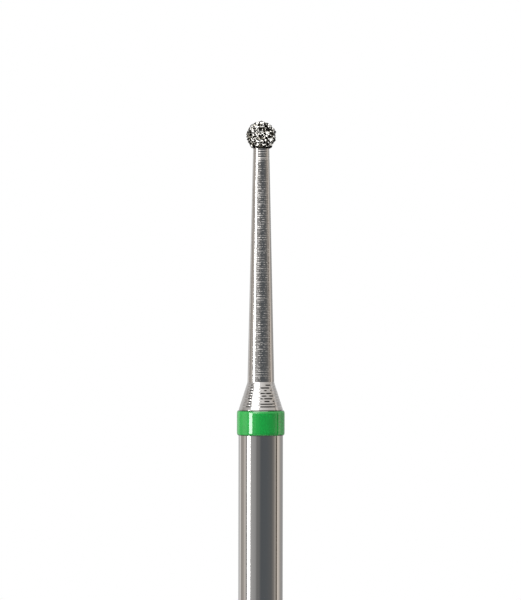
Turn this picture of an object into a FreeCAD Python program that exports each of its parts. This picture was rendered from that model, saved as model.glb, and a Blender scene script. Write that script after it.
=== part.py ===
# Long-necked round diamond bur on a friction-grip shank.
# One turned steel blank carries everything: a ground shank, a flare, a slim tapered neck and a ball.
# Diamond grains stand on the ball in plated nickel, and a crowned lacquer ring gives the grit class.
# The bur points up +Z, on its own axis, with the end face of its shank at z = 0.
import FreeCAD, Part
import math
import os
import random

import Sketcher
from FreeCAD import Rotation, Vector

# Driving dimensions, in millimetres. Each one goes into a cell of the sheet under its own name.
SIZES = {
    "shank_dia": 1.60,  # the ground cylinder that the chuck grips
    "shank_run": 11.65,  # bare shank, from the end face to the ring
    "end_bevel": 0.20,  # 45 degree bevel round the end face
    "ring_len": 0.95,  # lacquer ring, along the shank
    "ring_crown_wall": 0.060,  # lacquer at the middle of the ring
    "ring_shoulder_wall": 0.053,  # lacquer where its steep ends begin
    "ring_edge_wall": 0.022,  # lacquer at both ends of the ring
    "ring_taper": 0.10,  # length of each steep end
    "ring_land": 0.02,  # bare shank between the ring and the flare
    "cone_len": 1.00,  # flare, from the shank up to the neck
    "neck_base_dia": 0.96,  # neck where the flare ends
    "neck_tip_dia": 0.58,  # neck where it meets the ball
    "neck_reach": 8.84,  # from the foot of the neck to the centre of the ball
    "neck_blend": 0.10,  # turned radius in the corner between flare and neck
    "ball_dia": 0.83,  # bare steel ball under the nickel
    "bond_wall": 0.085,  # nickel over the ball
    "skirt_len": 0.16,  # how far the nickel runs down the neck below the ball
    "collar_drop": 0.085,  # the lowest row of grains, below the foot of the ball
    "grain_size": 0.145,  # coarse grit, corner to corner across the largest grain
    "grain_gap": 0.003,  # least room between neighbouring grains
    "grain_seat": 0.012,  # nickel between a grain and the steel
}

# How the grains differ from one another. The largest is 1 in both.
SMALLEST_GRAIN = 0.72
FLATTEST_GRAIN = 0.80
GRAIN_SEED = 11

FULL_TURN = 360
# Placed heights along the bur, written once for the expressions that need them.
CONE_FOOT = "Sizes.shank_run + Sizes.ring_len + Sizes.ring_land"
BALL_HEIGHT = f"{CONE_FOOT} + Sizes.cone_len + Sizes.neck_reach"
OUTPUT_FOLDER = "parts"


def add_sheet(doc):
    """One row for each driving dimension: its name, then its value in a cell with that alias."""
    sheet = doc.addObject("Spreadsheet::Sheet", "Sizes")
    for row, (name, value) in enumerate(SIZES.items(), start=1):
        sheet.set(f"A{row}", name)
        sheet.set(f"B{row}", str(value))
        sheet.setAlias(f"B{row}", name)
    doc.recompute()
    return sheet


def half_section(body, name):
    """A sketch on the body's XZ plane: sketch x is the radius and sketch y is the height."""
    sketch = body.newObject("Sketcher::SketchObject", name)
    plane = next(o for o in body.Origin.OriginFeatures if o.Role == "XZ_Plane")
    sketch.AttachmentSupport = (plane, [""])
    sketch.MapMode = "FlatFace"
    return sketch


def add_lines(sketch, points):
    """Straight edges through the points in turn, joined end to start. Returns their indices."""
    lines = []
    for start, end in zip(points, points[1:]):
        lines.append(sketch.addGeometry(Part.LineSegment(Vector(*start), Vector(*end))))
    for before, after in zip(lines, lines[1:]):
        sketch.addConstraint(Sketcher.Constraint("Coincident", before, 2, after, 1))
    return lines


def add_arc(sketch, centre, radius, start_angle, end_angle):
    """A circular edge, drawn anticlockwise between two angles in radians."""
    circle = Part.Circle(Vector(*centre), Vector(0, 0, 1), radius)
    return sketch.addGeometry(Part.ArcOfCircle(circle, start_angle, end_angle))


def hold(sketch, *terms):
    """A constraint with no value, such as Horizontal or Coincident."""
    return sketch.addConstraint(Sketcher.Constraint(*terms))


def drive(sketch, name, formula, *terms):
    """A dimension bound to the sheet. Terms end in its starting value, which the formula replaces."""
    index = hold(sketch, *terms)
    sketch.renameConstraint(index, name)
    sketch.setExpression(f"Constraints.{name}", formula)


def revolve(body, sketch, name):
    """The sketch turned once round the bur's own axis."""
    solid = body.newObject("PartDesign::Revolution", name)
    solid.Profile = (sketch, [""])
    solid.ReferenceAxis = (sketch, ["V_Axis"])
    solid.Angle = FULL_TURN
    sketch.Visibility = False
    return solid


def circle_edge(shape, radius, height):
    """Name of the round edge that lies closest to this radius and height."""

    def distance(item):
        edge = item[1]
        if edge.Degenerated or not isinstance(edge.Curve, Part.Circle):
            return math.inf
        return math.hypot(edge.Curve.Radius - radius, edge.Curve.Center.z - height)

    number, _ = min(enumerate(shape.Edges, start=1), key=distance)
    return f"Edge{number}"


def add_steel_blank(doc, size):
    """Shank, flare, neck and ball, turned from one bar."""
    shank_r = size["shank_dia"] / 2
    cone_foot = size["shank_run"] + size["ring_len"] + size["ring_land"]
    neck_foot = cone_foot + size["cone_len"]
    ball_z = neck_foot + size["neck_reach"]
    ball_r = size["ball_dia"] / 2
    neck_base_r = size["neck_base_dia"] / 2
    neck_tip_r = size["neck_tip_dia"] / 2
    ball_foot = math.sqrt(ball_r**2 - neck_tip_r**2)

    body = doc.addObject("PartDesign::Body", "steel_blank")
    sketch = half_section(body, "blank_half_section")
    face, bevel, shank, cone, neck = add_lines(
        sketch,
        [
            (0, 0),
            (shank_r - size["end_bevel"], 0),
            (shank_r, size["end_bevel"]),
            (shank_r, cone_foot),
            (neck_base_r, neck_foot),
            (neck_tip_r, ball_z - ball_foot),
        ],
    )
    ball = add_arc(sketch, (0, ball_z), ball_r, -math.atan2(ball_foot, neck_tip_r), math.pi / 2)
    (axis,) = add_lines(sketch, [(0, ball_z + ball_r), (0, 0)])

    hold(sketch, "Coincident", neck, 2, ball, 1)
    hold(sketch, "Coincident", ball, 2, axis, 1)
    hold(sketch, "Coincident", axis, 2, face, 1)
    hold(sketch, "Coincident", face, 1, -1, 1)
    hold(sketch, "PointOnObject", ball, 3, -2)
    hold(sketch, "PointOnObject", ball, 2, -2)
    hold(sketch, "Horizontal", face)
    hold(sketch, "Vertical", shank)
    drive(sketch, "shank_r", "Sizes.shank_dia / 2", "DistanceX", -1, 1, bevel, 2, shank_r)
    drive(sketch, "bevel_in", "Sizes.end_bevel", "DistanceX", bevel, 1, bevel, 2, size["end_bevel"])
    drive(sketch, "bevel_up", "Sizes.end_bevel", "DistanceY", bevel, 1, bevel, 2, size["end_bevel"])
    drive(sketch, "cone_foot", CONE_FOOT, "DistanceY", -1, 1, shank, 2, cone_foot)
    drive(sketch, "cone_rise", "Sizes.cone_len", "DistanceY", cone, 1, cone, 2, size["cone_len"])
    drive(sketch, "neck_base_r", "Sizes.neck_base_dia / 2", "DistanceX", -1, 1, cone, 2, neck_base_r)
    drive(sketch, "reach", "Sizes.neck_reach", "DistanceY", neck, 1, ball, 3, size["neck_reach"])
    drive(sketch, "neck_tip_r", "Sizes.neck_tip_dia / 2", "DistanceX", -1, 1, neck, 2, neck_tip_r)
    drive(sketch, "ball_r", "Sizes.ball_dia / 2", "Radius", ball, ball_r)

    turned = revolve(body, sketch, "turned_blank")
    doc.recompute()
    corner = body.newObject("PartDesign::Fillet", "flare_to_neck_radius")
    corner.Base = (turned, [circle_edge(turned.Shape, neck_base_r, neck_foot)])
    corner.setExpression("Radius", "Sizes.neck_blend")
    body.Tip = corner
    return body


def add_grit_ring(doc, size):
    """Crowned band of lacquer baked on the top of the shank. Its own origin is at its lower edge."""
    shank_r = size["shank_dia"] / 2
    edge_r = shank_r + size["ring_edge_wall"]
    shoulder_r = shank_r + size["ring_shoulder_wall"]
    crown_r = shank_r + size["ring_crown_wall"]
    length = size["ring_len"]
    taper = size["ring_taper"]

    body = doc.addObject("PartDesign::Body", "grit_class_ring")
    sketch = half_section(body, "ring_half_section")
    lower, steep, rising, falling, _, upper, bore = add_lines(
        sketch,
        [
            (shank_r, 0),
            (edge_r, 0),
            (shoulder_r, taper),
            (crown_r, length / 2),
            (shoulder_r, length - taper),
            (edge_r, length),
            (shank_r, length),
            (shank_r, 0),
        ],
    )

    hold(sketch, "Coincident", bore, 2, lower, 1)
    hold(sketch, "PointOnObject", lower, 1, -1)
    hold(sketch, "Horizontal", lower)
    hold(sketch, "Horizontal", upper)
    hold(sketch, "Vertical", bore)
    hold(sketch, "Vertical", rising, 1, falling, 2)
    hold(sketch, "Equal", lower, upper)
    hold(sketch, "Equal", rising, falling)
    drive(sketch, "bore_r", "Sizes.shank_dia / 2", "DistanceX", -1, 1, lower, 1, shank_r)
    drive(sketch, "length", "Sizes.ring_len", "DistanceY", bore, 2, bore, 1, length)
    drive(sketch, "middle", "Sizes.ring_len / 2", "DistanceY", lower, 1, rising, 2, length / 2)
    drive(sketch, "taper", "Sizes.ring_taper", "DistanceY", steep, 1, steep, 2, taper)
    for name, line in (("edge", lower), ("shoulder", steep), ("crown", rising)):
        wall = f"ring_{name}_wall"
        drive(sketch, wall, f"Sizes.{wall}", "DistanceX", lower, 1, line, 2, size[wall])

    revolve(body, sketch, "lacquer_band")
    body.setExpression("Placement.Base.z", "Sizes.shank_run")
    return body


def add_nickel_layer(doc, size):
    """Plated shell round the ball and the tip of the neck, before the grains take their room.
    Its own origin is the centre of the ball."""
    ball_r = size["ball_dia"] / 2
    outer_r = ball_r + size["bond_wall"]
    neck_tip_r = size["neck_tip_dia"] / 2
    neck_base_r = size["neck_base_dia"] / 2
    ball_foot = math.sqrt(ball_r**2 - neck_tip_r**2)
    foot_angle = -math.atan2(ball_foot, neck_tip_r)
    neck_foot = (neck_base_r, -size["neck_reach"])
    slope = (neck_base_r - neck_tip_r) / (size["neck_reach"] - ball_foot)
    hem = (neck_tip_r + slope * size["skirt_len"], -ball_foot - size["skirt_len"])
    # The skirt leaves the round shell along its tangent, and thins out to nothing at the hem.
    hem_distance = math.hypot(*hem)
    touch_angle = math.atan2(hem[1], hem[0]) + math.acos(outer_r / hem_distance)
    touch = (outer_r * math.cos(touch_angle), outer_r * math.sin(touch_angle))

    body = doc.addObject("PartDesign::Body", "plated_layer")
    sketch = half_section(body, "plating_half_section")
    inside = add_arc(sketch, (0, 0), ball_r, foot_angle, math.pi / 2)
    outside = add_arc(sketch, (0, 0), outer_r, touch_angle, math.pi / 2)
    (along_neck, skirt) = add_lines(sketch, [(neck_tip_r, -ball_foot), hem, touch])
    (crest,) = add_lines(sketch, [(0, outer_r), (0, ball_r)])
    (neck_line,) = add_lines(sketch, [neck_foot, (neck_tip_r, -ball_foot)])
    sketch.toggleConstruction(neck_line)

    hold(sketch, "Coincident", inside, 3, -1, 1)
    hold(sketch, "Coincident", outside, 3, -1, 1)
    hold(sketch, "Coincident", inside, 1, along_neck, 1)
    hold(sketch, "Coincident", neck_line, 2, along_neck, 1)
    hold(sketch, "PointOnObject", along_neck, 2, neck_line)
    hold(sketch, "Tangent", skirt, 2, outside, 1)
    hold(sketch, "Coincident", outside, 2, crest, 1)
    hold(sketch, "Coincident", crest, 2, inside, 2)
    hold(sketch, "PointOnObject", crest, 1, -2)
    hold(sketch, "PointOnObject", crest, 2, -2)
    drive(sketch, "ball_r", "Sizes.ball_dia / 2", "Radius", inside, ball_r)
    drive(sketch, "outer_r", "Sizes.ball_dia / 2 + Sizes.bond_wall", "Radius", outside, outer_r)
    drive(sketch, "neck_tip_r", "Sizes.neck_tip_dia / 2", "DistanceX", -1, 1, inside, 1, neck_tip_r)
    drive(sketch, "base_r", "Sizes.neck_base_dia / 2", "DistanceX", -1, 1, neck_line, 1, neck_base_r)
    reach = size["neck_reach"]
    drive(sketch, "reach", "Sizes.neck_reach", "DistanceY", neck_line, 1, -1, 1, reach)
    run = size["skirt_len"]
    drive(sketch, "skirt", "Sizes.skirt_len", "DistanceY", along_neck, 2, along_neck, 1, run)

    revolve(body, sketch, "plated_shell")
    body.setExpression("Placement.Base.z", BALL_HEIGHT)
    return body


def crystal_corners(radius, dice):
    """The twelve corners of one cubo-octahedron, flattened a little and turned at random.
    They come as a dictionary from the signs of an ideal corner, such as (1, -1, 0)."""
    turn = Rotation(*(dice.uniform(0, FULL_TURN) for _ in range(3)))
    squash = [dice.uniform(FLATTEST_GRAIN, 1) for _ in range(3)]
    signs = (-1, 0, 1)
    ideal = [(x, y, z) for x in signs for y in signs for z in signs if abs(x) + abs(y) + abs(z) == 2]
    unit = radius / math.sqrt(2)
    return {
        corner: turn.multVec(Vector(*(unit * c * s for c, s in zip(corner, squash))))
        for corner in ideal
    }


def crystal_faces(corners):
    """Eight triangles, one for each octant, and six four-sided faces, one for each way along an axis."""
    faces = []
    for x in (-1, 1):
        for y in (-1, 1):
            for z in (-1, 1):
                faces.append([(x, y, 0), (x, 0, z), (0, y, z)])
    for side in (-1, 1):
        faces.append([(side, 1, 0), (side, 0, 1), (side, -1, 0), (side, 0, -1)])
        faces.append([(1, side, 0), (0, side, 1), (-1, side, 0), (0, side, -1)])
        faces.append([(1, 0, side), (0, 1, side), (-1, 0, side), (0, -1, side)])
    return [[corners[key] for key in face] for face in faces]


def crystal(radius, foot, outward, seat, dice):
    """One diamond grain: it stands on the point foot, clear of the steel by seat."""
    corners = crystal_corners(radius, dice)
    depth = max(-corner.dot(outward) for corner in corners.values())
    centre = foot + outward * (seat + depth)
    faces = []
    for loop in crystal_faces(corners):
        points = [centre + corner for corner in loop]
        faces.append(Part.Face(Part.makePolygon(points + points[:1])))
    return Part.makeSolid(Part.makeShell(faces))


def grain_rows(size):
    """Rows of places for grains, from the pole of the ball down to the collar on the neck.
    A row is the polar angle of its feet on the ball, the height of its feet, their distance from
    the axis and how steeply they point up. Rows and neighbours stand a grain and a gap apart."""
    ball_r = size["ball_dia"] / 2
    seat = size["grain_seat"]
    pitch = size["grain_size"] + size["grain_gap"]
    neck_tip_r = size["neck_tip_dia"] / 2
    ball_foot = math.sqrt(ball_r**2 - neck_tip_r**2)
    # The smallest, flattest grain has its middle nearest to the ball, so the pitch is kept there.
    thinnest = SMALLEST_GRAIN * FLATTEST_GRAIN / math.sqrt(2) * size["grain_size"] / 2
    middle_r = ball_r + seat + thinnest

    collar_z = -ball_foot - size["collar_drop"]
    collar_r = neck_tip_r + seat + size["grain_size"] / 2
    collar_distance = math.hypot(collar_r, collar_z)
    collar_angle = math.atan2(collar_r, collar_z)
    apart = (middle_r**2 + collar_distance**2 - pitch**2) / (2 * middle_r * collar_distance)
    last_angle = collar_angle - math.acos(min(1, apart))
    steps = int(last_angle * middle_r / pitch)

    rows = []
    for step in range(steps + 1):
        angle = last_angle * step / steps
        ring_r = middle_r * math.sin(angle)
        count = max(1, int(math.pi / math.asin(pitch / 2 / ring_r))) if ring_r > pitch else 1
        rows.append((angle, ball_r * math.cos(angle), ball_r * math.sin(angle), count))
    neck_r = neck_tip_r + seat
    count = int(math.pi / math.asin(pitch / 2 / (neck_r + thinnest)))
    rows.append((math.pi / 2, collar_z, neck_r, count))
    return rows


def add_diamond_grains(doc, size):
    """Every grain as a solid of its own, in one group. Its own origin is the centre of the ball."""
    dice = random.Random(GRAIN_SEED)
    largest = size["grain_size"] / 2
    grains = []
    for angle, height, ring_r, count in grain_rows(size):
        first = dice.uniform(0, 2 * math.pi)
        for place in range(count):
            share = dice.uniform(SMALLEST_GRAIN, 1)
            # A small grain has room to stand off its place without reaching its neighbours.
            room = (1 - share) * largest / math.sqrt(2) / (size["ball_dia"] / 2)
            tilt = angle + dice.uniform(-room, room) * (ring_r > largest and height > 0)
            around = first + 2 * math.pi * place / count
            outward = Vector(
                math.sin(tilt) * math.cos(around),
                math.sin(tilt) * math.sin(around),
                math.cos(tilt),
            )
            on_ball = outward * (size["ball_dia"] / 2)
            on_neck = Vector(ring_r * math.cos(around), ring_r * math.sin(around), height)
            foot = on_neck if angle == math.pi / 2 else on_ball
            grains.append(crystal(largest * share, foot, outward, size["grain_seat"], dice))
    group = doc.addObject("Part::Feature", "diamond_grains")
    group.Shape = Part.makeCompound(grains)
    group.setExpression("Placement.Base.z", BALL_HEIGHT)
    return group


def add_nickel_bond(doc, layer, grains):
    """The plated layer with a pocket round each grain."""
    bond = doc.addObject("Part::Cut", "nickel_bond")
    bond.Base = layer
    bond.Tool = grains
    return bond


def check(doc, nodes):
    """Stops before anything is written if a feature failed or a node isn't a sound shape."""
    for item in doc.Objects:
        if {"Invalid", "Error"} & set(item.State):
            raise RuntimeError(f"{item.Name} failed: {item.State}")
    for node in nodes:
        if node.Shape.isNull() or not node.Shape.isValid() or not node.Shape.Solids:
            raise RuntimeError(f"{node.Label} has no sound solid")


def write_steps(nodes):
    """One STEP file for each node, named for its label."""
    os.makedirs(OUTPUT_FOLDER, exist_ok=True)
    for node in nodes:
        node.Shape.exportStep(os.path.join(OUTPUT_FOLDER, f"{node.Label}.step"))
        box = node.Shape.BoundBox
        print(
            f"{node.Label}: {len(node.Shape.Solids)} solids, {node.Shape.Volume:.4f} mm3,"
            f" {box.XLength:.3f} x {box.YLength:.3f} x {box.ZLength:.3f} mm"
        )


def main():
    doc = FreeCAD.newDocument("diamond_bur")
    sheet = add_sheet(doc)
    size = {name: float(sheet.get(name)) for name in SIZES}
    blank = add_steel_blank(doc, size)
    ring = add_grit_ring(doc, size)
    layer = add_nickel_layer(doc, size)
    grains = add_diamond_grains(doc, size)
    bond = add_nickel_bond(doc, layer, grains)
    doc.recompute()
    nodes = [blank, ring, bond, grains]
    check(doc, nodes)
    write_steps(nodes)


main()
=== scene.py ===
"""Looks of a round diamond bur: ground shank, green lacquer ring, turned flare and neck, coated ball."""

import math
import random

import bmesh
import bpy
from mathutils import Euler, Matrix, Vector, noise


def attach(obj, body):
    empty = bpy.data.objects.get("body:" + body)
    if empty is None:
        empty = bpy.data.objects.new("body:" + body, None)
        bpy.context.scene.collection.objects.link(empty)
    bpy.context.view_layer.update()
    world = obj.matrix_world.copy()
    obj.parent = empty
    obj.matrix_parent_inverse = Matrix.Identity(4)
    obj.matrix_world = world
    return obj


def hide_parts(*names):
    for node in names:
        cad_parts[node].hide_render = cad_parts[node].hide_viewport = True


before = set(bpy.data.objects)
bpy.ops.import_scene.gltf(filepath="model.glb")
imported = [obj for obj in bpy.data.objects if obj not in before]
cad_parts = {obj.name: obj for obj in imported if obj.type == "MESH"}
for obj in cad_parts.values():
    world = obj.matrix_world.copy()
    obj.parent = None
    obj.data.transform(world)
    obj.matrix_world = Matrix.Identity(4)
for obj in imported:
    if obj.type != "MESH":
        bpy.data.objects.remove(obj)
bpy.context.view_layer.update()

# Shapes are worked out in millimetres and brought to metres once, when a piece is finished.
MM = 0.001

# The bur's own sizes, as its CAD model has them.
SHANK_R = 0.80
SHANK_RUN = 11.65
END_BEVEL = 0.20
RING_LEN = 0.95
RING_WALL = 0.060
RING_LAND = 0.02
CONE_LEN = 1.00
NECK_BASE_R = 0.48
NECK_TIP_R = 0.29
NECK_REACH = 8.84
NECK_BLEND = 0.10
BALL_R = 0.415
BOND_WALL = 0.085
SKIRT_LEN = 0.16

CONE_FOOT = SHANK_RUN + RING_LEN + RING_LAND
NECK_FOOT = CONE_FOOT + CONE_LEN
BALL_Z = NECK_FOOT + NECK_REACH
BALL_FOOT = math.sqrt(BALL_R**2 - NECK_TIP_R**2)

# The turning tool left one ridge on the flare for each turn of the bar, and finer marks on the
# neck. Both are drawn about a quarter coarser than they are, or they would blur away. Between two
# ridges the cut is deepest at this share of the pitch.
RIDGE_PITCH = 0.096
RIDGE_DEPTH = 0.0062
RIDGE_ROWS = 10
DEEPEST = 0.6
FEED = 0.080
# Just under the ball it also left a few rings and one deeper line: heights and depths.
NECK_RINGS = ((21.69, 0.0048), (21.78, 0.0016), (21.87, 0.0020), (21.96, 0.0016))
NECK_RING_HALF = 0.036

# A fine turned line bounds the lacquer above. Below, it stops a little short on the bare shank.
LINE_WIDE = 0.030
LINE_DEEP = 0.025
LINE_TOP = CONE_FOOT - 0.005
LACQUER_FOOT = SHANK_RUN + 0.050
LACQUER_TOP = SHANK_RUN + RING_LEN

# How much thicker or thinner the lacquer is than its wall, by degrees round from the front:
# it pooled into a low ridge with one steep side.
POOLED = (
    (-180, 0),
    (-90, 0),
    (-44, -0.024),
    (-32.5, -0.0065),
    (-23.5, 0.0095),
    (-19, 0.021),
    (-12, 0.023),
    (90, 0),
    (180, 0),
)

ROUND_STEPS = 128

# In the picture's pixels: its height, the millimetre by the shank's width, and the point that its
# middle shows, to the right of the axis and above the ring's foot.
PICTURE_ROWS = 600
PIXELS_PER_MM = 27.8
MIDDLE_RIGHT = -0.47
MIDDLE_ABOVE_RING = 136.7
# The same in metres.
PIXEL = MM / PIXELS_PER_MM
VIEW_X = MIDDLE_RIGHT * PIXEL
VIEW_Z = SHANK_RUN * MM + MIDDLE_ABOVE_RING * PIXEL
# The bur leans a tenth of a degree to the right in the picture.
LEAN = -0.1

# The studio's brightness all round the bur, which mirrors it as upright bands. A stop is an
# azimuth in degrees, seen from the bur with the camera at 0 and right positive, then a level, and
# a warmth that takes that much from the blue. First what the shank and the neck mirror.
EYE_LEVEL = (
    (-180, 0.62, 0),
    (-145, 0.58, 0),
    # A thin bright line by the shank's left edge.
    (-135, 0.82, 0.03),
    (-129.5, 1.0, 0.05),
    (-122.5, 0.38, 0.10),
    (-100, 0.44, 0.14),
    (-92, 0.70, 0.13),
    (-82, 0.58, 0.08),
    (-78, 0.34, 0),
    (-50, 0.48, 0),
    (-26, 0.36, 0),
    # The dark flag round the camera, cooler on its right.
    (-20, 0.21, 0),
    (-8, 0.20, 0),
    (2, 0.112, -0.18),
    (30, 0.116, -0.18),
    (58, 0.145, -0.02),
    (72, 0.25, 0.12),
    (85, 0.54, 0.17),
    # A dark line, and the bright band beside it.
    (87, 0.07, 0.35),
    (93, 0.07, 0.35),
    (96, 0.82, 0.18),
    (108, 0.74, 0.16),
    (120, 0.44, 0.09),
    (140, 0.38, 0.02),
    (180, 0.46, 0),
)
# What the flare mirrors, and the neck where its marks face up.
OVERHEAD = (
    (-180, 0.72, 0),
    (-125, 0.64, 0),
    (-112, 0.42, 0.06),
    (-80, 0.60, 0.04),
    (-60, 0.70, 0),
    (-4, 1.0, 0),
    (12, 0.87, 0.02),
    (46, 0.66, 0.05),
    (62, 0.64, 0.06),
    (85, 0.66, 0.12),
    (88, 0.40, 0.20),
    (92, 0.40, 0.20),
    (95, 0.78, 0.10),
    (106, 0.72, 0.08),
    (113, 0.45, 0.03),
    (135, 0.54, 0),
    (180, 0.72, 0),
)
# What the sides of the flare's ridges that face up most mirror.
CEILING = (
    (-180, 0.72, 0),
    (-100, 0.60, 0),
    (-94, 0.12, 0),
    (-71, 0.09, 0),
    (-66, 0.85, 0),
    (-6, 0.85, 0),
    (2, 0.02, 0),
    (90, 0.02, 0),
    (98, 0.56, 0),
    (180, 0.72, 0),
)
# A strong light from straight above.
TOP_LIGHT = (6.5, 6.5, 6.5, 1)


def linear(hex_colour):
    """An sRGB hex colour such as 1f9e3c as the linear RGBA that a socket takes."""
    channels = [int(hex_colour[i : i + 2], 16) / 255 for i in (0, 2, 4)]
    return [c / 12.92 if c <= 0.04045 else ((c + 0.055) / 1.055) ** 2.4 for c in channels] + [1]


def add_node(tree, kind, inputs=None, **settings):
    """Adds a node with its settings, and sets or links each of its inputs by name or number."""
    node = tree.nodes.new(kind)
    for name, value in settings.items():
        setattr(node, name, value)
    for name, value in (inputs or {}).items():
        if isinstance(value, bpy.types.NodeSocket):
            tree.links.new(value, node.inputs[name])
        else:
            node.inputs[name].default_value = value
    return node


def new_material(name):
    """An empty material, its node tree and its Principled shader."""
    material = bpy.data.materials.new(name)
    material.use_nodes = True
    tree = material.node_tree
    return material, tree, tree.nodes["Principled BSDF"]


def streaks(tree, length, width, seed):
    """Noise in streaks round the bur, this long and this wide in millimetres. Another seed takes
    another stretch of the noise."""
    place = add_node(tree, "ShaderNodeTexCoord").outputs["Object"]
    per_metre = (1 / (length * MM), 1 / (length * MM), 1 / (width * MM))
    placed = add_node(
        tree,
        "ShaderNodeMapping",
        {"Vector": place, "Scale": per_metre, "Location": (seed, seed, 0)},
    )
    return add_node(
        tree, "ShaderNodeTexNoise", {"Vector": placed.outputs[0], "Scale": 1, "Detail": 2}
    ).outputs["Fac"]


def ground_steel():
    """Stainless steel, ground between centreless wheels and polished: bright, with reflections
    that stay sharp, and hairlines round the shank too faint to see but at a grazing angle."""
    scratch_deep = 0.00009
    material, tree, shader = new_material("ground_stainless_steel")
    clouds = streaks(tree, length=0.8, width=1.4, seed=7)
    roughness = add_node(
        tree,
        "ShaderNodeMapRange",
        {"Value": clouds, "From Min": 0.3, "From Max": 0.7, "To Min": 0.05, "To Max": 0.09},
    )
    scratches = streaks(tree, length=0.9, width=0.018, seed=3)
    hairlines = add_node(
        tree, "ShaderNodeBump", {"Height": scratches, "Distance": scratch_deep * MM}
    )
    shader.inputs["Base Color"].default_value = linear("d6d4d2")
    shader.inputs["Metallic"].default_value = 1
    tree.links.new(roughness.outputs["Result"], shader.inputs["Roughness"])
    tree.links.new(hairlines.outputs["Normal"], shader.inputs["Normal"])
    return material


def turned_steel():
    """Stainless steel straight from the lathe: a bright skin with the fine rings of the tool's
    feed, cut unevenly. They tip the reflections up and down, so they glint as short dashes."""
    # Depths in millimetres, and how far the rings wander, in radians of the feed.
    feed_deep = 0.0017
    dug_in_deep = 0.003
    wander = 5.0
    material, tree, shader = new_material("turned_stainless_steel")
    place = add_node(tree, "ShaderNodeTexCoord").outputs["Object"]
    height = add_node(tree, "ShaderNodeSeparateXYZ", {"Vector": place}).outputs["Z"]

    # The rings wander up and down, and bite in patches.
    drift = add_node(
        tree,
        "ShaderNodeMath",
        {0: streaks(tree, length=3.0, width=0.30, seed=17), 1: wander},
        operation="MULTIPLY",
    ).outputs[0]
    phase = add_node(
        tree,
        "ShaderNodeMath",
        {0: height, 1: 2 * math.pi / (FEED * MM), 2: drift},
        operation="MULTIPLY_ADD",
    ).outputs[0]
    wave = add_node(tree, "ShaderNodeMath", {0: phase}, operation="SINE").outputs[0]
    bite = add_node(
        tree,
        "ShaderNodeMapRange",
        {
            "Value": streaks(tree, length=0.075, width=0.07, seed=11),
            "From Min": 0.44,
            "From Max": 0.62,
            "To Min": 0.1,
        },
    ).outputs["Result"]
    marks = add_node(tree, "ShaderNodeMath", {0: wave, 1: bite}, operation="MULTIPLY").outputs[0]

    # On the flare the ridges are modelled, and these finer marks stop. Under the ball they calm
    # down, where the tool turned back.
    above_flare = add_node(
        tree,
        "ShaderNodeMapRange",
        {"Value": height, "From Min": NECK_FOOT * MM, "From Max": (NECK_FOOT + 0.1) * MM},
    ).outputs["Result"]
    calmer = add_node(
        tree,
        "ShaderNodeMapRange",
        {
            "Value": height,
            "From Min": (BALL_Z - 2.2) * MM,
            "From Max": (BALL_Z - 0.9) * MM,
            "To Min": 1,
            "To Max": 0.55,
        },
    ).outputs["Result"]
    strength = add_node(
        tree, "ShaderNodeMath", {0: above_flare, 1: calmer}, operation="MULTIPLY"
    ).outputs[0]
    fine = add_node(
        tree,
        "ShaderNodeBump",
        {"Height": marks, "Distance": feed_deep * MM, "Strength": strength},
    )

    # Here and there the tool dug in, and left a deeper stretch of ring.
    dug_in = add_node(
        tree,
        "ShaderNodeMapRange",
        {
            "Value": streaks(tree, length=1.2, width=0.045, seed=23),
            "From Min": 0.66,
            "From Max": 0.78,
        },
    ).outputs["Result"]
    deep = add_node(
        tree,
        "ShaderNodeBump",
        {
            "Height": dug_in,
            "Distance": dug_in_deep * MM,
            "Strength": strength,
            "Normal": fine.outputs["Normal"],
        },
    )
    shader.inputs["Base Color"].default_value = linear("d4d1ce")
    shader.inputs["Metallic"].default_value = 1
    shader.inputs["Roughness"].default_value = 0.05
    tree.links.new(deep.outputs["Normal"], shader.inputs["Normal"])
    return material


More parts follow.
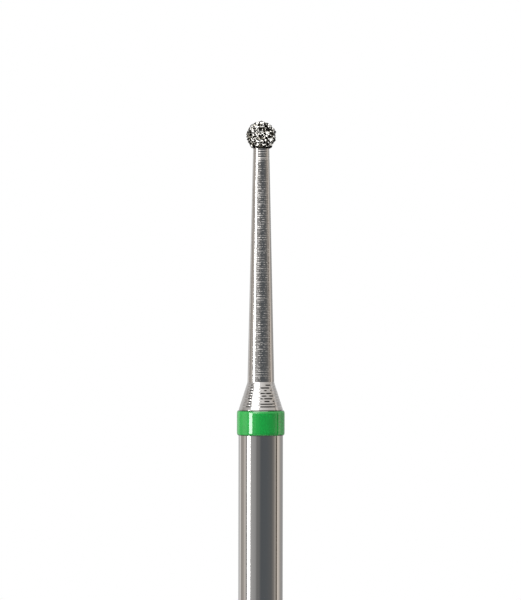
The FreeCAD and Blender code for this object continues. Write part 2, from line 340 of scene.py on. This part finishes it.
def green_lacquer():
    """Baked green lacquer: even pigment under a smooth gloss that settled while it was wet. The
    gloss is stronger than that of a plain resin, so its IOR is high. Both ends are painted dark
    and less glossy, a painted shade where the ring meets the steel."""
    # The painted shade at the ends darkens between these distances from the edge, in millimetres.
    dark_from = 0.045
    dark_to = 0.010
    material, tree, shader = new_material("baked_green_lacquer")
    place = add_node(tree, "ShaderNodeTexCoord").outputs["Object"]
    patches = add_node(tree, "ShaderNodeTexNoise", {"Vector": place, "Scale": 1 / (0.5 * MM)})
    share = add_node(
        tree,
        "ShaderNodeMapRange",
        {"Value": patches.outputs["Fac"], "From Min": 0.3, "From Max": 0.7},
    )
    colour = add_node(
        tree,
        "ShaderNodeMix",
        {"Factor": share.outputs["Result"], "A": linear("08b044"), "B": linear("0eba48")},
        data_type="RGBA",
    )

    middle = (LACQUER_FOOT + LACQUER_TOP) / 2
    half_length = (LACQUER_TOP - LACQUER_FOOT) / 2
    height = add_node(tree, "ShaderNodeSeparateXYZ", {"Vector": place}).outputs["Z"]
    above_middle = add_node(
        tree, "ShaderNodeMath", {0: height, 1: middle * MM}, operation="SUBTRACT"
    ).outputs[0]
    off_middle = add_node(
        tree, "ShaderNodeMath", {0: above_middle}, operation="ABSOLUTE"
    ).outputs[0]
    ends = add_node(
        tree,
        "ShaderNodeMapRange",
        {
            "Value": off_middle,
            "From Min": (half_length - dark_from) * MM,
            "From Max": (half_length - dark_to) * MM,
        },
    ).outputs["Result"]
    # Painted shade: the lacquer is mixed toward dark green at both ends.
    shaded_ends = add_node(
        tree,
        "ShaderNodeMix",
        {"Factor": ends, "A": colour.outputs["Result"], "B": linear("10401a")},
        data_type="RGBA",
    )
    # The painted shade at the ends also takes away most of their gloss.
    gloss = add_node(
        tree, "ShaderNodeMath", {0: ends, 1: -0.45, 2: 0.5}, operation="MULTIPLY_ADD"
    ).outputs[0]

    ripples = add_node(tree, "ShaderNodeTexNoise", {"Vector": place, "Scale": 1 / (0.22 * MM)})
    waves = add_node(
        tree, "ShaderNodeBump", {"Height": ripples.outputs["Fac"], "Distance": 0.00015 * MM}
    )
    tree.links.new(shaded_ends.outputs["Result"], shader.inputs["Base Color"])
    tree.links.new(gloss, shader.inputs["Specular IOR Level"])
    tree.links.new(waves.outputs["Normal"], shader.inputs["Normal"])
    shader.inputs["Roughness"].default_value = 0.06
    shader.inputs["IOR"].default_value = 2.00
    return material


def plated_nickel():
    """Electroplated nickel: warm metal that grew in fine nodules. Its colour is painted far darker
    than the metal, a painted shade for the shadow between the grains."""
    material, tree, shader = new_material("electroplated_nickel")
    place = add_node(tree, "ShaderNodeTexCoord").outputs["Object"]
    nodules = add_node(tree, "ShaderNodeTexVoronoi", {"Vector": place, "Scale": 1 / (0.035 * MM)})
    fine = add_node(tree, "ShaderNodeTexNoise", {"Vector": place, "Scale": 1 / (0.012 * MM)})
    # Painted shade: near black to dark grey, for the shade between the grains.
    colour = add_node(
        tree,
        "ShaderNodeMix",
        {"Factor": fine.outputs["Fac"], "A": linear("121110"), "B": linear("403d38")},
        data_type="RGBA",
    )
    roughness = add_node(
        tree, "ShaderNodeMapRange", {"Value": fine.outputs["Fac"], "To Min": 0.22, "To Max": 0.40}
    )
    soft = add_node(
        tree,
        "ShaderNodeBump",
        {"Height": nodules.outputs["Distance"], "Distance": 0.008 * MM},
        invert=True,
    )
    grainy = add_node(
        tree,
        "ShaderNodeBump",
        {
            "Height": fine.outputs["Fac"],
            "Distance": 0.001 * MM,
            "Normal": soft.outputs["Normal"],
        },
    )
    shader.inputs["Metallic"].default_value = 1
    tree.links.new(colour.outputs["Result"], shader.inputs["Base Color"])
    tree.links.new(roughness.outputs["Result"], shader.inputs["Roughness"])
    tree.links.new(grainy.outputs["Normal"], shader.inputs["Normal"])
    return material


def diamond():
    """Synthetic diamond grit: sharp glassy crystals from smoky grey to clear pale straw, lightly
    frosted where they broke. Painted light marks it: painted glints and dark facets, painted
    bright and dark strokes, a painted shade round its outline and a painted glow in the clear flakes."""
    facet_share = 0.55
    ripples = 8
    tips_start = BALL_R + 0.088
    tips_end = BALL_R + 0.128
    clear_light = 1.8
    material, tree, shader = new_material("synthetic_diamond_grit")
    place = add_node(tree, "ShaderNodeTexCoord").outputs["Object"]

    # How bright a spot is comes in part from its facet and for the rest from its flake. The ramp
    # gives the crystals' grey to straw tone, and paints glints as white and dark facets as near black.
    facet = add_node(tree, "ShaderNodeAttribute", attribute_name="facet_flash").outputs["Fac"]
    flakes = add_node(tree, "ShaderNodeTexVoronoi", {"Vector": place, "Scale": 1 / (0.095 * MM)})
    flake = add_node(
        tree, "ShaderNodeSeparateColor", {"Color": flakes.outputs["Color"]}
    ).outputs["Red"]
    flake_part = add_node(
        tree, "ShaderNodeMath", {0: flake, 1: 1 - facet_share}, operation="MULTIPLY"
    ).outputs[0]
    flash = add_node(
        tree,
        "ShaderNodeMath",
        {0: facet, 1: facet_share, 2: flake_part},
        operation="MULTIPLY_ADD",
    ).outputs[0]
    colours = add_node(tree, "ShaderNodeValToRGB", {"Fac": flash})
    ramp = colours.color_ramp
    ramp.elements[0].color = linear("0a0908")
    ramp.elements[1].color = linear("ffffff")
    for stop, colour in (
        (0.12, "2a2721"),
        (0.30, "747064"),
        (0.37, "8c8778"),
        (0.42, "aaa696"),
        (0.46, "d8d2c2"),
        (0.50, "fdfaf2"),
    ):
        ramp.elements.new(stop).color = linear(colour)

    # Curved ripples across each facet are painted into the colour as bright and dark strokes,
    # painted highlights and painted shade. They are drawn a tenth of a millimetre apart, far
    # coarser than they are, so that they show.
    bend = add_node(
        tree, "ShaderNodeTexNoise", {"Vector": place, "Scale": 1 / (0.30 * MM), "Detail": 0}
    ).outputs["Fac"]
    shift = add_node(
        tree, "ShaderNodeMath", {0: facet, 1: 2 * math.pi}, operation="MULTIPLY"
    ).outputs[0]
    phase = add_node(
        tree,
        "ShaderNodeMath",
        {0: bend, 1: ripples * 2 * math.pi, 2: shift},
        operation="MULTIPLY_ADD",
    ).outputs[0]
    ripple = add_node(tree, "ShaderNodeMath", {0: phase}, operation="SINE").outputs[0]
    strokes = add_node(
        tree, "ShaderNodeMapRange", {"Value": ripple, "From Min": 0.14, "From Max": 0.46}
    ).outputs["Result"]

    # Painted shade: the tips that stand out farthest are painted dark, so the head keeps a dark outline.
    from_centre = add_node(
        tree,
        "ShaderNodeVectorMath",
        {0: place, 1: (0, 0, BALL_Z * MM)},
        operation="DISTANCE",
    ).outputs["Value"]
    outline_shade = add_node(
        tree,
        "ShaderNodeMapRange",
        {
            "Value": from_centre,
            "From Min": tips_start * MM,
            "From Max": tips_end * MM,
            "To Min": 1,
            "To Max": 0.15,
        },
    ).outputs["Result"]
    lit = add_node(
        tree, "ShaderNodeMath", {0: strokes, 1: outline_shade}, operation="MULTIPLY"
    ).outputs[0]
    # The painted strokes and the painted outline shade take the colour toward near black.
    grit_colour_painted = add_node(
        tree,
        "ShaderNodeMix",
        {"Factor": lit, "A": linear("0b0a08"), "B": colours.outputs["Color"]},
        data_type="RGBA",
    ).outputs["Result"]

    # The clear flakes are glass, not mirror. Their glow is painted light, an emission that stands in for
    # light that came in behind them.
    bright = add_node(
        tree, "ShaderNodeMapRange", {"Value": flash, "From Min": 0.42, "From Max": 0.50}
    ).outputs["Result"]
    clear = add_node(
        tree, "ShaderNodeMath", {0: bright, 1: lit}, operation="MULTIPLY"
    ).outputs[0]
    metallic = add_node(
        tree, "ShaderNodeMath", {0: 1, 1: clear}, operation="SUBTRACT"
    ).outputs[0]
    painted_glow = add_node(
        tree, "ShaderNodeMath", {0: clear, 1: clear_light}, operation="MULTIPLY"
    ).outputs[0]

    frost = add_node(tree, "ShaderNodeTexNoise", {"Vector": place, "Scale": 1 / (0.045 * MM)})
    roughness = add_node(
        tree,
        "ShaderNodeMapRange",
        {
            "Value": frost.outputs["Fac"],
            "From Min": 0.4,
            "From Max": 0.7,
            "To Min": 0.08,
            "To Max": 0.30,
        },
    )
    chips = add_node(
        tree, "ShaderNodeBump", {"Height": frost.outputs["Fac"], "Distance": 0.008 * MM}
    )
    tree.links.new(grit_colour_painted, shader.inputs["Base Color"])
    tree.links.new(grit_colour_painted, shader.inputs["Emission Color"])
    tree.links.new(painted_glow, shader.inputs["Emission Strength"])
    tree.links.new(metallic, shader.inputs["Metallic"])
    tree.links.new(roughness.outputs["Result"], shader.inputs["Roughness"])
    tree.links.new(chips.outputs["Normal"], shader.inputs["Normal"])
    shader.inputs["IOR"].default_value = 2.42
    return material


def straight(start, end, steps):
    """Evenly spaced points along a straight line, both ends included."""
    return [
        (
            start[0] + (end[0] - start[0]) * step / steps,
            start[1] + (end[1] - start[1]) * step / steps,
        )
        for step in range(steps + 1)
    ]


def arc(centre, radius, start, end, steps):
    """Points along a circular arc, between two angles in radians, both ends included."""
    angles = [start + (end - start) * step / steps for step in range(steps + 1)]
    return [
        (centre[0] + radius * math.cos(angle), centre[1] + radius * math.sin(angle))
        for angle in angles
    ]


def spun(profile, steps=ROUND_STEPS, closed=False):
    """A half section of (radius, height) points turned once round the bur's axis. A closed one
    has a last side, from its last point to its first."""
    bm = bmesh.new()
    points = [bm.verts.new((radius, 0, height)) for radius, height in profile]
    pairs = list(zip(points, points[1:]))
    if closed:
        pairs.append((points[-1], points[0]))
    edges = [bm.edges.new(pair) for pair in pairs]
    bmesh.ops.spin(
        bm,
        geom=points + edges,
        cent=(0, 0, 0),
        axis=(0, 0, 1),
        angle=2 * math.pi,
        steps=steps,
        use_merge=True,
    )
    bmesh.ops.remove_doubles(bm, verts=bm.verts, dist=1e-5)
    bmesh.ops.recalc_face_normals(bm, faces=bm.faces)
    return bm


def move_out(vert, distance):
    """Moves a point straight out from the bur's axis, or in where the distance is negative."""
    x, y, z = vert.co
    radius = math.hypot(x, y)
    vert.co = (x + x / radius * distance, y + y / radius * distance, z)


def finish_piece(bm, name, node, materials, smooth=True):
    """Makes the object, in metres, with its materials, hangs it under the root body and hides the
    CAD node that it stands for.
    """
    bmesh.ops.scale(bm, vec=(MM, MM, MM), verts=bm.verts)
    for face in bm.faces:
        face.smooth = smooth
    mesh = bpy.data.meshes.new(name)
    bm.to_mesh(mesh)
    bm.free()
    for material in materials:
        mesh.materials.append(material)
    piece = bpy.data.objects.new(name, mesh)
    bpy.context.scene.collection.objects.link(piece)
    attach(piece, "root")
    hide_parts(node)
    return piece


def blank_profile():
    """Half section of the steel, from the middle of its end face to the pole of the ball."""
    bevel_edge = 0.02
    profile = [
        (0, 0),
        (SHANK_R - END_BEVEL - bevel_edge, 0),
        (SHANK_R - END_BEVEL + bevel_edge / 2, bevel_edge / 2),
        (SHANK_R - bevel_edge / 2, END_BEVEL - bevel_edge / 2),
        (SHANK_R, END_BEVEL + bevel_edge),
    ]
    shank_rows = 24
    profile += straight((SHANK_R, END_BEVEL), (SHANK_R, LACQUER_TOP - LINE_WIDE), shank_rows)[1:]
    profile += [
        (SHANK_R, LACQUER_TOP - LINE_WIDE / 2),
        (SHANK_R - LINE_DEEP, LACQUER_TOP),
        (SHANK_R - LINE_DEEP, LINE_TOP),
    ]

    # The flare meets the neck in a turned radius, which is tangent to both.
    cone_angle = math.atan2(SHANK_R - NECK_BASE_R, CONE_LEN)
    neck_angle = math.atan2(NECK_BASE_R - NECK_TIP_R, NECK_REACH - BALL_FOOT)
    reach = NECK_BLEND * math.tan((cone_angle - neck_angle) / 2)
    cone_end = (
        NECK_BASE_R + reach * math.sin(cone_angle),
        NECK_FOOT - reach * math.cos(cone_angle),
    )
    neck_start = (
        NECK_BASE_R - reach * math.sin(neck_angle),
        NECK_FOOT + reach * math.cos(neck_angle),
    )
    centre = (
        neck_start[0] + NECK_BLEND * math.cos(neck_angle),
        neck_start[1] + NECK_BLEND * math.sin(neck_angle),
    )
    ridges = round((cone_end[1] - CONE_FOOT) / RIDGE_PITCH)
    blend_rows = 5
    profile += straight((SHANK_R, CONE_FOOT), cone_end, ridges * RIDGE_ROWS)
    profile += arc(centre, NECK_BLEND, math.pi + cone_angle, math.pi + neck_angle, blend_rows)[1:]

    # The neck is plain up to the rings under the ball, which need closer rows.
    neck_rows = 60
    ring_rows_each = 4
    neck_end = (NECK_TIP_R, BALL_Z - BALL_FOOT)
    plain_z = NECK_RINGS[0][0] - NECK_RING_HALF
    share = (plain_z - neck_start[1]) / (neck_end[1] - neck_start[1])
    plain_end = (neck_start[0] + (NECK_TIP_R - neck_start[0]) * share, plain_z)
    profile += straight(neck_start, plain_end, neck_rows)[1:]
    ring_rows = round((neck_end[1] - plain_z) / (NECK_RING_HALF / ring_rows_each))
    for radius, z in straight(plain_end, neck_end, ring_rows)[1:]:
        for ring_z, depth in NECK_RINGS:
            radius -= depth * max(0, 1 - abs(z - ring_z) / NECK_RING_HALF)
        profile.append((radius, z))

    ball_rows = 24
    ball_start = -math.atan2(BALL_FOOT, NECK_TIP_R)
    profile += arc((0, BALL_Z), BALL_R, ball_start, math.pi / 2, ball_rows)[1:-1]
    return profile + [(0, BALL_Z + BALL_R)]


def ridge_cut(x, y, z):
    """How deep the tool cut into the flare here. The cuts deepen and fade along the way round,
    and run out toward both ends of the flare."""
    patches_per_mm = 7
    unevenness = 2.6
    weakest = 0.15
    number, turns = divmod((z - CONE_FOOT) / RIDGE_PITCH, 1)
    groove = turns / DEEPEST if turns < DEEPEST else (1 - turns) / (1 - DEEPEST)
    # Each ridge takes its patches from another layer of the noise.
    patch = noise.noise((x * patches_per_mm + 9, y * patches_per_mm, number * 3.7))
    strength = min(1, max(weakest, 1.0 + unevenness * patch))
    from_foot = (z - CONE_FOOT - 0.05) / 0.08
    from_neck = (NECK_FOOT - 0.02 - z) / 0.05
    return RIDGE_DEPTH * groove * strength * max(0, min(1, from_foot, from_neck))


def steel_blank(materials):
    """Shank, flare, neck and ball in one mesh, ground up to the fine line and turned above it.
    The tool's ridges stand on the flare as real relief."""
    bm = spun(blank_profile())
    for vert in bm.verts:
        if CONE_FOOT < vert.co.z < NECK_FOOT:
            move_out(vert, -ridge_cut(*vert.co))
    for face in bm.faces:
        face.material_index = int(face.calc_center_median().z > LINE_TOP)
    return finish_piece(bm, "turned_steel_blank", "steel_blank", materials)


def pooled(turn):
    """How much thicker or thinner the lacquer is at this many degrees round from the front."""
    for (start, low), (end, high) in zip(POOLED, POOLED[1:]):
        if start <= turn <= end:
            return low + (high - low) * (turn - start) / (end - start)


def lacquer_ring(materials):
    """The ring: lacquer that crept into a soft crown with round ends when it was baked, and
    pooled into a low ridge down its front."""
    # The crown thins to this wall at its ends, and its inner side is sunk in the shank.
    edge_wall = 0.002
    sunk = 0.02
    squareness = 12
    rows = 40
    profile = [(SHANK_R - sunk, LACQUER_FOOT)]
    for row in range(rows + 1):
        # Rows crowd together at both ends, where the outline turns fastest.
        across = -math.cos(math.pi * row / rows)
        wall = edge_wall + (RING_WALL - edge_wall) * math.sqrt(1 - abs(across) ** squareness)
        height = LACQUER_FOOT + (LACQUER_TOP - LACQUER_FOOT) * (across + 1) / 2
        profile.append((SHANK_R + wall, height))
    profile.append((SHANK_R - sunk, LACQUER_TOP))
    bm = spun(profile, 2 * ROUND_STEPS, closed=True)
    for vert in bm.verts:
        proud = math.hypot(vert.co.x, vert.co.y) - SHANK_R
        if proud > 0:
            turn = math.degrees(math.atan2(vert.co.x, -vert.co.y))
            move_out(vert, pooled(turn) * proud / RING_WALL)
    return finish_piece(bm, "lacquer_ring", "grit_class_ring", materials)


def nickel_coat(materials):
    """Plated nickel over the ball and the tip of the neck, uneven as it grew round the grains."""
    # It lies lower than the CAD model's even coat, so that the grains show, and its inner side
    # is sunk in the ball. Heights are from the ball's centre.
    outer_r = BALL_R + BOND_WALL - 0.03
    inner_r = BALL_R - 0.01
    coat_steps = 96
    # The skirt runs straight from a hem, let into the neck, to where it touches the round coat.
    hem_sunk = 0.004
    slope = (NECK_BASE_R - NECK_TIP_R) / (NECK_REACH - BALL_FOOT)
    hem = (NECK_TIP_R + slope * SKIRT_LEN, -BALL_FOOT - SKIRT_LEN)
    touch = math.atan2(hem[1], hem[0]) + math.acos(outer_r / math.hypot(*hem))
    outside = arc((0, 0), outer_r, touch, math.pi / 2, 48)
    inside = arc((0, 0), inner_r, math.pi / 2, -math.atan2(BALL_FOOT, NECK_TIP_R), 16)
    skirt = [(hem[0] - hem_sunk, hem[1])] + straight(hem, outside[0], 8)[1:-1]
    section = skirt + outside[:-1] + [(0, outer_r), (0, inner_r)] + inside[1:]
    profile = [(radius, height + BALL_Z) for radius, height in section]
    bm = spun(profile, coat_steps, closed=True)
    # The two points on the axis are joined by the section's own closing line, which isn't skin.
    axis_edges = [e for e in bm.edges if all(math.hypot(v.co.x, v.co.y) < 1e-6 for v in e.verts)]
    bmesh.ops.delete(bm, geom=axis_edges, context="EDGES")

    # Lumps of two sizes, by how many there are in a millimetre and how high they stand. The
    # inner side and the hem stay as they are.
    lumps = ((11, 0.016), (26, 0.009))
    centre = Vector((0, 0, BALL_Z))
    for vert in bm.verts:
        out = vert.co - centre
        if out.length > BALL_R + 0.005 and out.z > hem[1] + 0.02:
            lump = sum(noise.noise(vert.co * per_mm) * height for per_mm, height in lumps)
            vert.co += out.normalized() * lump
    return finish_piece(bm, "nickel_coat", "nickel_bond", materials)


def crystal(dice, size):
    """One grain: a block with its corners struck off and a few breaks, turned at random."""
    corner_reach = (0.46, 0.84)
    breaks = 3
    break_reach = (0.34, 0.50)
    squash_range = (0.74, 1.12)
    bm = bmesh.new()
    bmesh.ops.create_cube(bm, size=1)
    cuts = []
    for x in (-1, 1):
        for y in (-1, 1):
            for z in (-1, 1):
                cuts.append((Vector((x, y, z)).normalized(), dice.uniform(*corner_reach)))
    for _ in range(breaks):
        way = Vector([dice.gauss(0, 1) for _ in range(3)]).normalized()
        cuts.append((way, dice.uniform(*break_reach)))
    for way, reach in cuts:
        geom = bm.verts[:] + bm.edges[:] + bm.faces[:]
        bmesh.ops.bisect_plane(
            bm, geom=geom, dist=1e-4, plane_co=way * reach, plane_no=way, clear_outer=True
        )
        rim = [edge for edge in bm.edges if edge.is_boundary]
        if rim:
            bmesh.ops.holes_fill(bm, edges=rim)
    squash = Vector([dice.uniform(*squash_range) for _ in range(3)]) * size
    bmesh.ops.scale(bm, vec=squash, verts=bm.verts)
    turn = Euler([dice.uniform(0, 2 * math.pi) for _ in range(3)]).to_matrix()
    bmesh.ops.rotate(bm, cent=(0, 0, 0), matrix=turn, verts=bm.verts)
    return bm


def grain_places(dice):
    """Where grains sit, from the ball's centre, and which way is out: scattered over the ball and
    down to a collar on the neck, no two closer than they can lie beside each other."""
    tries = 14000
    apart = 0.100
    middle_r = BALL_R + 0.055
    ball_ends = -0.29
    collar_top = (0.365, -0.28)
    collar_foot = (NECK_TIP_R, -0.40)
    collar_lean = -0.5
    places = []
    for _ in range(tries):
        out = Vector([dice.gauss(0, 1) for _ in range(3)]).normalized()
        spot = out * middle_r
        if spot.z < ball_ends:
            turn = dice.uniform(0, 2 * math.pi)
            share = dice.uniform(0, 1)
            radius = collar_top[0] + (collar_foot[0] - collar_top[0]) * share
            height = collar_top[1] + (collar_foot[1] - collar_top[1]) * share
            spot = Vector((radius * math.cos(turn), radius * math.sin(turn), height))
            out = Vector((math.cos(turn), math.sin(turn), collar_lean)).normalized()
        if all((spot - other).length > apart for other, _ in places):
            places.append((spot, out))
    return places


def diamond_grains(materials):
    """All the grains in one mesh. Each face has its own flash, a random value for its tone and
    painted glint, in part its grain's.
    """
    sizes = (0.100, 0.140)
    seat = (-0.014, 0.014)
    grain_part = 0.3
    dice = random.Random(5)
    grains = bmesh.new()
    flash_layer = grains.faces.layers.float.new("facet_flash")
    one_mesh = bpy.data.meshes.new("one_grain")
    for spot, out in grain_places(dice):
        size = dice.uniform(*sizes)
        one = crystal(dice, size)
        centre = Vector((0, 0, BALL_Z)) + spot + out * dice.uniform(*seat)
        bmesh.ops.translate(one, vec=centre, verts=one.verts)
        one.to_mesh(one_mesh)
        one.free()
        known = len(grains.faces)
        grains.from_mesh(one_mesh)
        grains.faces.ensure_lookup_table()
        clearness = dice.random()
        for face in grains.faces[known:]:
            face[flash_layer] = grain_part * clearness + (1 - grain_part) * dice.random()
    bpy.data.meshes.remove(one_mesh)
    bmesh.ops.recalc_face_normals(grains, faces=grains.faces)
    return finish_piece(
        grains, "diamond_grit", "diamond_grains", materials, smooth=False
    )


def add_floor():
    """Plain pale floor. Where no shadow falls it is as white to the camera as the studio wall."""
    floor_r = 18 * MM
    camera_lift = 0.47
    bm = bmesh.new()
    bmesh.ops.create_circle(bm, cap_ends=True, segments=96, radius=floor_r)
    mesh = bpy.data.meshes.new("studio_floor")
    bm.to_mesh(mesh)
    bm.free()
    floor = bpy.data.objects.new("studio_floor", mesh)
    bpy.context.scene.collection.objects.link(floor)
    material, tree, shader = new_material("white_paper")
    shader.inputs["Base Color"].default_value = linear("b4b4b2")
    shader.inputs["Roughness"].default_value = 0.9
    shader.inputs["Emission Color"].default_value = (1, 1, 1, 1)
    camera_ray = add_node(tree, "ShaderNodeLightPath").outputs["Is Camera Ray"]
    lift = add_node(
        tree, "ShaderNodeMath", {0: camera_ray, 1: camera_lift}, operation="MULTIPLY"
    ).outputs[0]
    tree.links.new(lift, shader.inputs["Emission Strength"])
    mesh.materials.append(material)


def wall_levels(tree, azimuth, stops):
    """The studio's brightness all round, as a ramp from -180 to 180 degrees."""
    node = add_node(tree, "ShaderNodeValToRGB", {"Fac": azimuth})
    ramp = node.color_ramp
    for number, (degrees, level, warmth) in enumerate(stops):
        # A new ramp has two stops already.
        place = degrees / 360 + 0.5
        element = ramp.elements[number] if number < 2 else ramp.elements.new(place)
        element.position = place
        element.color = (level, level * (1 - warmth / 2), level * (1 - warmth), 1)
    return node.outputs["Color"]


def add_studio():
    """White walls behind the bur, a dark flag round the camera and grey cards beside it, which
    give the steel its look. The camera itself sees plain white."""
    world = bpy.data.worlds.new("studio")
    bpy.context.scene.world = world
    world.use_nodes = True
    tree = world.node_tree
    tree.nodes.clear()
    way = add_node(tree, "ShaderNodeTexCoord").outputs["Generated"]
    parts = add_node(tree, "ShaderNodeSeparateXYZ", {"Vector": way}).outputs
    front = add_node(
        tree, "ShaderNodeMath", {0: parts["Y"], 1: -1}, operation="MULTIPLY"
    ).outputs[0]
    turn = add_node(
        tree, "ShaderNodeMath", {0: parts["X"], 1: front}, operation="ARCTAN2"
    ).outputs[0]
    azimuth = add_node(
        tree, "ShaderNodeMath", {0: turn, 1: 0.5 / math.pi, 2: 0.5}, operation="MULTIPLY_ADD"
    ).outputs[0]
    # The walls lean in toward the back, so that a zone is mirrored by steel of one tilt all the
    # way round: the tilt's sine is the height over this reach, which stays above zero.
    squared = add_node(
        tree, "ShaderNodeMath", {0: parts["Y"], 1: -2, 2: 2.001}, operation="MULTIPLY_ADD"
    ).outputs[0]
    reach = add_node(tree, "ShaderNodeMath", {0: squared}, operation="SQRT").outputs[0]
    tilt = add_node(
        tree, "ShaderNodeMath", {0: parts["Z"], 1: reach}, operation="DIVIDE"
    ).outputs[0]
    # Each zone of the walls blends into the next between two angles, in degrees.
    walls = wall_levels(tree, azimuth, EYE_LEVEL)
    for zone, height, start, end in (
        (wall_levels(tree, azimuth, OVERHEAD), tilt, 4.5, 8.5),
        (wall_levels(tree, azimuth, CEILING), tilt, 18.8, 20.3),
        (TOP_LIGHT, parts["Z"], 66, 72),
    ):
        share = add_node(
            tree,
            "ShaderNodeMapRange",
            {
                "Value": height,
                "From Min": math.sin(math.radians(start)),
                "From Max": math.sin(math.radians(end)),
            },
        )
        walls = add_node(
            tree,
            "ShaderNodeMix",
            {"Factor": share.outputs["Result"], "A": walls, "B": zone},
            data_type="RGBA",
        ).outputs["Result"]
    # Below the floor's edge it gets darker, as under any table.
    table = add_node(
        tree,
        "ShaderNodeMapRange",
        {
            "Value": parts["Z"],
            "From Min": math.sin(math.radians(-32)),
            "From Max": math.sin(math.radians(-14)),
            "To Min": 0.35,
        },
    )
    light = add_node(
        tree, "ShaderNodeBackground", {"Color": walls, "Strength": table.outputs["Result"]}
    ).outputs[0]
    white = add_node(tree, "ShaderNodeBackground", {"Color": (1, 1, 1, 1)}).outputs[0]
    camera_ray = add_node(tree, "ShaderNodeLightPath").outputs["Is Camera Ray"]
    seen = add_node(tree, "ShaderNodeMixShader", {0: camera_ray, 1: light, 2: white}).outputs[0]
    add_node(tree, "ShaderNodeOutputWorld", {"Surface": seen})


def add_softbox(name, azimuth, elevation, distance, width, height, level):
    """A soft area lamp that faces the middle of the visible bur, with angles in degrees and sizes
    in metres. Level is how bright its face is, where 1 is white."""
    target = Vector((0, 0, VIEW_Z))
    turn, lift = math.radians(azimuth), math.radians(elevation)
    way = Vector(
        (math.sin(turn) * math.cos(lift), -math.cos(turn) * math.cos(lift), math.sin(lift))
    )
    lamp = bpy.data.lights.new(name, "AREA")
    lamp.shape = "RECTANGLE"
    lamp.size = width
    lamp.size_y = height
    lamp.energy = level * math.pi * width * height
    softbox = bpy.data.objects.new(name, lamp)
    softbox.location = target + way * distance
    softbox.rotation_euler = (-way).to_track_quat("-Z", "Y").to_euler()
    softbox.visible_camera = False
    bpy.context.scene.collection.objects.link(softbox)


def add_camera():
    """Level with the middle of the picture, and far enough off to show the bur without
    perspective, as the photograph does."""
    camera = bpy.data.cameras.new("camera")
    camera.lens = 200
    camera.sensor_width = 36
    camera.clip_start = 0.01
    camera_object = bpy.data.objects.new("camera", camera)
    distance = PICTURE_ROWS * PIXEL * camera.lens / camera.sensor_width
    camera_object.location = (VIEW_X, -distance, VIEW_Z)
    camera_object.rotation_euler = (math.pi / 2, math.radians(LEAN), 0)
    bpy.context.scene.collection.objects.link(camera_object)
    bpy.context.scene.camera = camera_object


steel_blank([ground_steel(), turned_steel()])
lacquer_ring([green_lacquer()])
nickel_coat([plated_nickel()])
diamond_grains([diamond()])

add_floor()
add_studio()
add_softbox(
    "strip_softbox",
    azimuth=-64.3,
    elevation=0,
    distance=0.25,
    width=0.064,
    height=0.118,
    level=6,
)
add_softbox(
    "low_softbox",
    azimuth=-25,
    elevation=12,
    distance=0.80,
    width=0.507,
    height=0.070,
    level=1.1,
)
add_softbox(
    "overhead_softbox",
    azimuth=-36,
    elevation=43,
    distance=0.30,
    width=0.215,
    height=0.310,
    level=1.6,
)
add_camera()
bpy.context.scene.view_settings.view_transform = "Standard"
